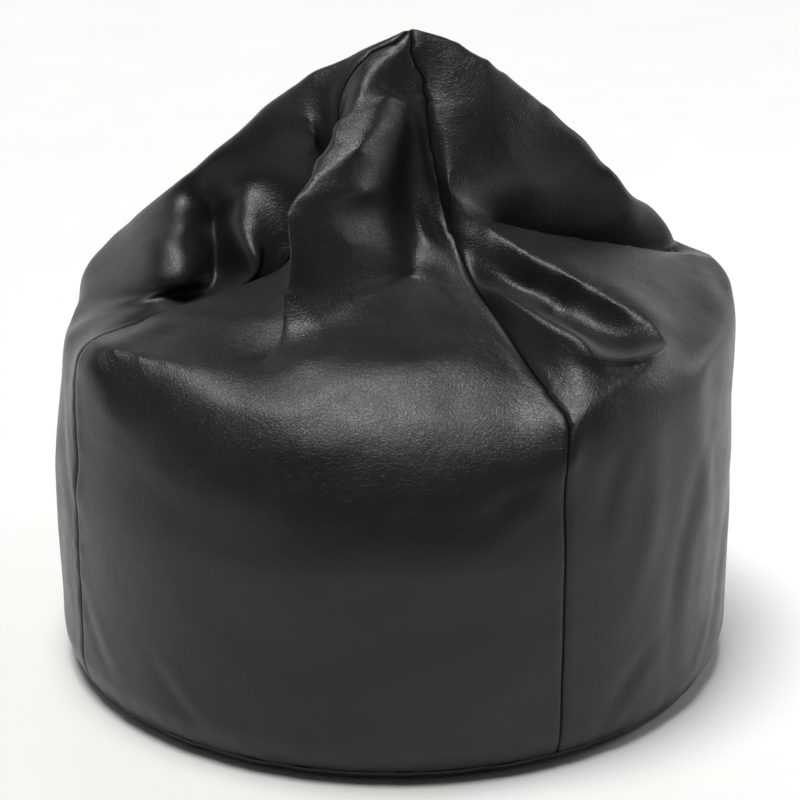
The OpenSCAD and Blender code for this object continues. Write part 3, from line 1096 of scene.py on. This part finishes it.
def base_panel():
    """The round base: flat on the floor, and turned up, puckered, at the seam."""
    flat = [(share, 0.0017) for share in (0.2, 0.4, 0.6, 0.8, 0.87, 0.91)]
    turned_up = [(0.935, 0.0026), (0.950, 0.0048), (0.959, 0.0080), (0.9635, 0.0115),
                 (0.964, 0.0150)]

    def place(a, share, z):
        lift = ease((share - 0.9) / 0.09)
        deep = 0.0006 * (1 + math.sin(a * 23 + 9 * share)) * bell(share - 0.93, 0.03)
        return R * share + 0.0008 * pucker_round(a) * lift, z + deep

    return disc("cover_base_panel", flat + turned_up, 288, place, COVER_T)


def base_stitching():
    """The thread that sews the base to the wall, just inside the wall's turned-in foot."""
    spokes, sides = 288, 6
    verts = []
    faces = []
    for j in range(spokes):
        for k in range(sides):
            a = 2 * math.pi * k / sides
            r = R * 0.9635 + THREAD_R * math.cos(a)
            verts.append((*way(360 * j / spokes) * r, 0.0185 + THREAD_R * math.sin(a)))
            here = j * sides
            after = (j + 1) % spokes * sides
            m = (k + 1) % sides
            faces.append((here + k, after + k, after + m, here + m))
    return mesh_object("base_stitching", verts, faces)


# ---- liner and beads ----

LINER_R = R - 0.0185
LINER_LOW = 0.0215
LINER_T = 0.0006
LINER_SLIT = 0.007  # half the gap for the liner's zip
SHOULDER = 0.05  # how far a sack's shoulder is rounded off
BEADS_IN = 0.006  # how far inside the liner the beads lie
BEADS_LOW = 0.008
ROOM = 0.020  # how far the liner stays under the cover


def ceiling(x):
    """A height for each of a round grid's points that stays under the whole cover."""
    spokes, rows = 72, 20
    grid = np.zeros((rows + 1, spokes, 2))
    for i in range(rows + 1):
        for j in range(spokes):
            grid[i, j] = way(360 * j / spokes) * LINER_R * i / rows
    top = x[x[:, 2] > 0.55 * R]
    height = np.zeros((rows + 1, spokes))
    reach = 0.055  # a cover vertex this near a point is over it
    for i in range(rows + 1):
        for j in range(spokes):
            close = np.linalg.norm(top[:, :2] - grid[i, j], axis=1) < reach
            height[i, j] = top[close, 2].min() - ROOM
    for _ in range(6):
        around = (np.roll(height, 1, 1) + np.roll(height, -1, 1)) / 2
        inner = np.vstack((height[:1], height[:-1]))
        outer = np.vstack((height[1:], height[-1:]))
        height = np.minimum(height, (around + inner / 2 + outer / 2) / 2)
    return height


def sack(height, inset, low, spokes=72, rows=20):
    """Vertices of a sack that stands on its base: the wall's rings, its shoulder and its top."""
    rings = []
    rim = np.minimum(height[-1], height[-2]) - inset
    for k in range(13):
        f = k / 12
        ring = [(*way(360 * j / spokes) * (LINER_R - inset),
                 low + (rim[j] - SHOULDER - low) * f) for j in range(spokes)]
        rings.append(ring)
    for k in range(rows - 1, 0, -1):
        share = k / rows
        drop = SHOULDER * ease((share - 0.80) / 0.2) ** 2
        rings.append([(*way(360 * j / spokes) * (LINER_R - inset) * share,
                       height[k, j] - inset - drop * (1 if k == rows - 1 else 0.3))
                      for j in range(spokes)])
    return rings


def sack_faces(rows, spokes, first, last):
    """A sack's faces from one column to another, up to its top vertex."""
    faces = ring_quads(rows, spokes, first, last)
    top = rows * spokes
    low = top - spokes
    return faces + [(low + j % spokes, low + (j + 1) % spokes, top) for j in range(first, last)]


def liner(height):
    """The liner's two halves, with a slit for its zip."""
    rings = sack(height, 0.0, LINER_LOW)
    spokes = len(rings[0])
    verts = np.array([p for ring in rings for p in ring] + [(0, 0, height[0].min())])
    step = 360 / spokes
    zip_column = round((ZIP_SEAM % 360) / step)
    halves = []
    for name, first in (("liner_left_half", zip_column),
                        ("liner_right_half", zip_column + spokes // 2)):
        half = cut_out(name, verts, sack_faces(len(rings), spokes, first, first + spokes // 2))
        refine(half)
        co = coords(half.data)
        angle = round_angle(co)
        side = turn(angle, ZIP_SEAM) * math.pi / 180 * LINER_R
        z = co[:, 2]
        opened = ease((z - ZIP_LOW) / 0.01) * ease((ZIP_HIGH - z) / 0.01)
        reach = np.clip(1 - np.abs(side) / 0.04, 0, 1) * opened
        sign = 1.0 if name == "liner_left_half" else -1.0
        near_zip = np.abs(side) < 0.06
        co += ALONG_WALL * (LINER_SLIT * reach * sign * near_zip)[:, None]
        a = np.radians(angle)
        ripple = 0.0010 * np.sin(a * 46 + z * 60 + 2 * np.sin(z * 31)) \
            * (1 - bell(side, 0.06)) * ease((z - 0.05) / 0.05)
        co[:, :2] -= np.array((np.sin(a), -np.cos(a))).T * np.abs(ripple)[:, None]
        set_coords(half.data, co)
        thicken(half, LINER_T, -1)
        halves.append(half)
    return halves


def liner_base():
    """The liner's round base, with a shallow gathered edge."""
    rows = ((0.25, 0.0042), (0.5, 0.0042), (0.75, 0.0042), (0.9, 0.0042), (0.96, 0.0052),
            (0.99, 0.010), (1.0, 0.0205))

    def place(a, share, z):
        fold = 0.0012 * math.sin(a * 36 + math.sin(a * 7)) * share ** 12
        return (LINER_R - 0.0008) * share - abs(fold), z

    return disc("liner_round_base", rows, 144, place, LINER_T)


def beads(height):
    """The beads, as one heap with a pebbled surface."""
    rings = sack(height, BEADS_IN, 0.022)
    spokes = len(rings[0])
    verts = [p for ring in rings for p in ring]
    verts += [(0, 0, height[0].min() - BEADS_IN), (0, 0, BEADS_LOW)]
    faces = sack_faces(len(rings), spokes, 0, spokes)
    under = len(verts)
    for j in range(spokes):
        verts.append((*way(360 * j / spokes) * (LINER_R - 0.026), BEADS_LOW))
    for j in range(spokes):
        nxt = (j + 1) % spokes
        faces.append((j, under + j, under + nxt, nxt))
        faces.append((under + j, under - 1, under + nxt))
    obj = mesh_object("polystyrene_fill", verts, faces)
    refine(obj)
    co = coords(obj.data)
    normal = mesh_normals(obj.data)
    lump = np.sin(co[:, 0] * 410) * np.sin(co[:, 1] * 430) * np.sin(co[:, 2] * 420)
    co -= normal * (0.0012 * np.abs(lump) * (co[:, 2] > 0.03))[:, None]
    set_coords(obj.data, co)
    return obj


# ---- the zips ----

COIL_PITCH = 0.0016
COIL_WIRE = 0.00034  # radius of the coil's nylon wire
R_NOMINAL = 0.430  # the seam's radius, before its gores are cut in facets
TAPE_T = 0.0009
OUTER_INSET = 0.003  # how far inside the seam each zip's tapes lie
LINER_INSET = 0.0185
STITCH_OFF = 0.0095  # from the zip's middle to the stitching beside it


def at_zip(obj, inset):
    """Moves a piece from the zip's own frame, +X across and +Y outwards, to its seam."""
    co = coords(obj.data)
    flat = (R_NOMINAL - inset + co[:, 1:2]) * way(ZIP_SEAM) - co[:, :1] * ALONG_WALL[:2]
    set_coords(obj.data, np.hstack((flat, co[:, 2:])))


def tube(path, radius, sides=6):
    """Vertices and faces of a closed tube along a path of points."""
    path = np.array(path)
    tangent = np.gradient(path, axis=0)
    tangent /= np.linalg.norm(tangent, axis=1)[:, None]
    ref = np.array((0.31, 0.87, 0.38))
    u = np.cross(tangent, ref)
    u /= np.linalg.norm(u, axis=1)[:, None]
    v = np.cross(tangent, u)
    verts = []
    for k in range(sides):
        a = 2 * math.pi * k / sides
        verts.append(path + radius * (math.cos(a) * u + math.sin(a) * v))
    verts = np.array(verts).transpose(1, 0, 2).reshape(-1, 3)
    n = len(path)
    ends = [tuple(range(sides))[::-1], tuple((n - 1) * sides + k for k in range(sides))]
    return verts, ends + ring_quads(n, sides)


def joined(name, parts):
    """One object from several (vertices, faces)."""
    verts = []
    faces = []
    for v, f in parts:
        base = len(verts)
        verts.extend(map(tuple, v))
        faces.extend(tuple(base + i for i in face) for face in f)
    return mesh_object(name, verts, faces)


def coil(name, side, z0, z1):
    """One side of the zip's coil: a flattened spiral whose heads stand up at its inner edge.

    A core cord runs inside it, and a row of stitches holds it to the tape.
    """
    turns = int((z1 - z0 - 0.002) / COIL_PITCH)
    start = z0 + 0.001 + (0.25 if side > 0 else 0.75) * COIL_PITCH
    steps = 12
    path = []
    for i in range((turns - 1) * steps):
        t = 2 * math.pi * i / steps
        wave = math.cos(t)
        x = 0.0020 + 0.0011 * -wave
        head = 0.00018 * max(0.0, -wave) ** 2
        y = 0.00125 + (0.0008 + head) * math.sin(t)
        z = start + COIL_PITCH * i / steps
        path.append((side * x, y, z))
    core = [(side * 0.0024, 0.00125 + 0.0001 * math.sin(i), z0 + 0.001 + i * (z1 - z0 - 0.002) / 60)
            for i in range(61)]
    sewn = []
    for i in range(int((z1 - z0 - 0.004) / 0.0032)):
        zz = z0 + 0.002 + i * 0.0032
        sewn.append(tube([(side * 0.0031, 0.0002, zz), (side * 0.0027, 0.0023, zz + 0.0004),
                          (side * 0.0017, 0.0024, zz + 0.0012),
                          (side * 0.0014, 0.0022, zz + 0.0016)], 0.00014, 5))
    return joined(name, [tube(path, COIL_WIRE), tube(core, 0.0005)] + sewn)


def tape(name, side, z0, z1):
    """A woven tape: a thin strip with a thicker outer cord and a rib beside the coil."""
    across = ((0.0010, 0.0), (0.0016, 0.00005), (0.0042, 0.00005), (0.0050, 0.00022),
              (0.0058, 0.00005), (0.0100, 0.0), (0.0140, 0.0), (0.0150, 0.00018),
              (0.0160, 0.00022), (0.0169, 0.0))
    section = [(x, rise - 0.0001) for x, rise in across]
    section += [(x, -TAPE_T - rise * 0.5) for x, rise in reversed(across)]
    rows = 121
    verts = []
    for i in range(rows):
        z = z0 + (z1 - z0) * i / (rows - 1)
        wave = 0.00012 * math.sin(i * 0.9)
        verts += [(side * (x + (wave if x > 0.012 else 0)), y, z) for x, y in section]
    n = len(section)
    faces = ring_quads(rows, n)
    top = (rows - 1) * n
    for j in range(len(across) - 1):
        faces.append((j, n - 1 - j, n - 2 - j, j + 1))
        faces.append((top + j, top + j + 1, top + n - 2 - j, top + n - 1 - j))
    if side < 0:
        faces = [f[::-1] for f in faces]
    return mesh_object(name, verts, faces)


def rounded_block(low, high, bevel, taper=0.0):
    """A bevelled block between two corners, as (vertices, faces)."""
    low = np.array(low)
    high = np.array(high)
    obj = mesh_object("block", [(x, y, z) for x in (low[0], high[0]) for y in (low[1], high[1])
                                for z in (low[2], high[2])],
                      [(0, 1, 3, 2), (4, 6, 7, 5), (0, 4, 5, 1), (2, 3, 7, 6), (0, 2, 6, 4),
                       (1, 5, 7, 3)])
    co = coords(obj.data)
    if taper:
        lower = co[:, 2] < (low[2] + high[2]) / 2
        co[lower, 0] *= 1 - taper
        set_coords(obj.data, co)
    soft = obj.modifiers.new("soft", "BEVEL")
    soft.width = bevel
    soft.segments = 3
    soft.limit_method = "NONE"
    bake(obj)
    out = (coords(obj.data), [tuple(p.vertices) for p in obj.data.polygons])
    bpy.data.objects.remove(obj)
    return out


def slider(name, z0):
    """The slider, as a child-safe one without a pull: two plates, flanges, a post and a bridge."""
    parts = [
        rounded_block((-0.0054, 0.0027, z0 + 0.0002), (0.0054, 0.0041, z0 + 0.0158), 0.0006, 0.18),
        rounded_block((-0.0054, -0.0032, z0 + 0.0002), (0.0054, -0.0019, z0 + 0.0158), 0.0005,
                      0.18),
        rounded_block((-0.0005, -0.0020, z0 + 0.0012), (0.0005, 0.0028, z0 + 0.0048), 0.0002)]
    for side in (-1, 1):
        wing = rounded_block((side * 0.0049 - 0.0006, 0.0005, z0 + 0.003),
                             (side * 0.0049 + 0.0006, 0.0030, z0 + 0.0156), 0.0003)
        parts.append(wing)
    bridge = []
    for i in range(25):
        t = math.pi * i / 24
        bridge.append((0, 0.0040 + 0.0013 * math.sin(t), z0 + 0.0080 - 0.0046 * math.cos(t)))
    verts, faces = tube(bridge, 0.00055, 10)
    verts[:, 0] *= 1.9
    parts.append((verts, faces))
    return joined(name, parts)


def stops(name, z0, paired):
    """Metal clamps on the tapes: a pair at the closed end, or one bridge at the open end."""
    parts = []
    if paired:
        for side in (-1, 1):
            x = sorted((side * 0.0010, side * 0.0034))
            parts.append(rounded_block((x[0], 0.0001, z0 + 0.0002),
                                       (x[1], 0.0033, z0 + 0.0038), 0.0005))
    else:
        parts.append(rounded_block((-0.0034, 0.0001, z0 + 0.0002), (0.0034, 0.0033, z0 + 0.0038),
                                   0.0006))
        for x in (-0.0018, 0.0018):
            parts.append(rounded_block((x - 0.0004, 0.0030, z0 + 0.0008),
                                       (x + 0.0004, 0.0034, z0 + 0.0032), 0.0001))
    return joined(name, parts)


def stitches(name, xs, z0, z1):
    """Rows of single stitches beside the zip, each sunk into the leatherette at its ends."""
    parts = []
    pitch = 0.0036
    for x in xs:
        for i in range(int((z1 - z0) / pitch)):
            z = z0 + i * pitch
            parts.append(tube([(x, -0.0007, z), (x, 0.00025, z + 0.0004), (x, 0.0004, z + 0.0014),
                               (x, 0.00025, z + 0.0024), (x, -0.0007, z + 0.0028)], 0.00032, 6))
    return joined(name, parts)


def tapes_and_coils(prefix, inset, tape_mat, coil_mat, metal, tape_slot, coil_slot):
    """A whole zip in place of its CAD nodes, with its pieces and how they are painted."""
    z_tape = [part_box(prefix + "_tape_left")[k].z for k in (0, 1)]
    z_coil = [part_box(prefix + "_coil_left")[k].z for k in (0, 1)]
    z_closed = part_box(prefix + "_closed_stops")[0].z
    z_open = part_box(prefix + "_open_stop")[0].z
    made = []
    for side, word in ((-1, "left"), (1, "right")):
        made.append((tape(f"{prefix}_woven_tape_{word}", side, *z_tape), tape_mat, tape_slot,
                     f"{prefix}_tape_{word}", "bag"))
        made.append((coil(f"{prefix}_nylon_coil_{word}", side, *z_coil), coil_mat, coil_slot,
                     f"{prefix}_coil_{word}", "bag"))
    made.append((stops(f"{prefix}_clamps", z_closed, True), metal, "zip_metal",
                 f"{prefix}_closed_stops", "bag"))
    made.append((stops(f"{prefix}_bridge", z_open, False), metal, "zip_metal",
                 f"{prefix}_open_stop", "bag"))
    made.append((slider(f"{prefix}_runner", z_coil[0]), metal, "zip_metal",
                 f"{prefix}_slider", f"{prefix}_slider"))
    for obj, mat, slot_name, node, body in made:
        at_zip(obj, inset)
        paint(obj, mat)
        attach(obj, body)
        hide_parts(node)


# ---- the whole chair ----

def dress(obj, mat, slot_name, *nodes):
    """Paints a piece, makes it ride with the bag and lets it stand for its CAD nodes."""
    paint(obj, mat)
    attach(obj, "bag")
    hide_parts(*nodes)


def build_cover(thread):
    """The cover's panels, base and thread; gives back the cloth's shape."""
    skin = leatherette("leatherette", (0.012, 0.012, 0.0125), (0.019, 0.019, 0.019), 1.0)
    under = leatherette("base_leatherette", (0.018, 0.018, 0.020), (0.028, 0.028, 0.029), 1.3)
    panels, shape, threads = cover()
    for panel, node in zip(panels, PANELS):
        dress(panel, skin, "leatherette", node)
    base = base_panel()
    dress(base, under, "base_cloth", "base_panel")
    dress(threads, thread, "thread", "side_seam_thread")
    dress(base_stitching(), thread, "thread", "base_seam_thread")
    return shape


def build_inside(shape, white):
    """The liner and the beads under the cloth's shape."""
    height = ceiling(shape)
    for half, node in zip(liner(height), ("liner_left", "liner_right")):
        dress(half, white, "liner_cloth", node)
    bottom = liner_base()
    dress(bottom, white, "liner_cloth", "liner_base")
    fill = beads(height)
    dress(fill, bead_paint(), "beads", "bead_fill")


def build_zips(thread, white):
    """Both zips, and the stitching beside the outer one."""
    black_tape = woven("black_zip_tape", (0.018, 0.018, 0.019), (0.030, 0.030, 0.032), 0.0006)
    black_coil = nylon("black_nylon", (0.022, 0.022, 0.024), (0.034, 0.034, 0.036))
    white_coil = nylon("white_nylon", (0.70, 0.70, 0.68), (0.78, 0.78, 0.76))
    metal = lacquer()
    tapes_and_coils("zip", OUTER_INSET, black_tape, black_coil, metal, "zip_tape", "zip_coil")
    tapes_and_coils("liner", LINER_INSET, white, white_coil, metal, "liner_cloth", "liner_zip")
    sewn = stitches("zip_stitching", (-STITCH_OFF, STITCH_OFF), ZIP_LOW, ZIP_HIGH)
    at_zip(sewn, 0.0)
    paint(sewn, thread)
    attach(sewn, "bag")


def build():
    thread = thread_paint()
    white = woven("liner_polyester", (0.68, 0.68, 0.66), (0.76, 0.76, 0.74), 0.0005)
    shape = build_cover(thread)
    build_inside(shape, white)
    build_zips(thread, white)


camera()
studio()
build()
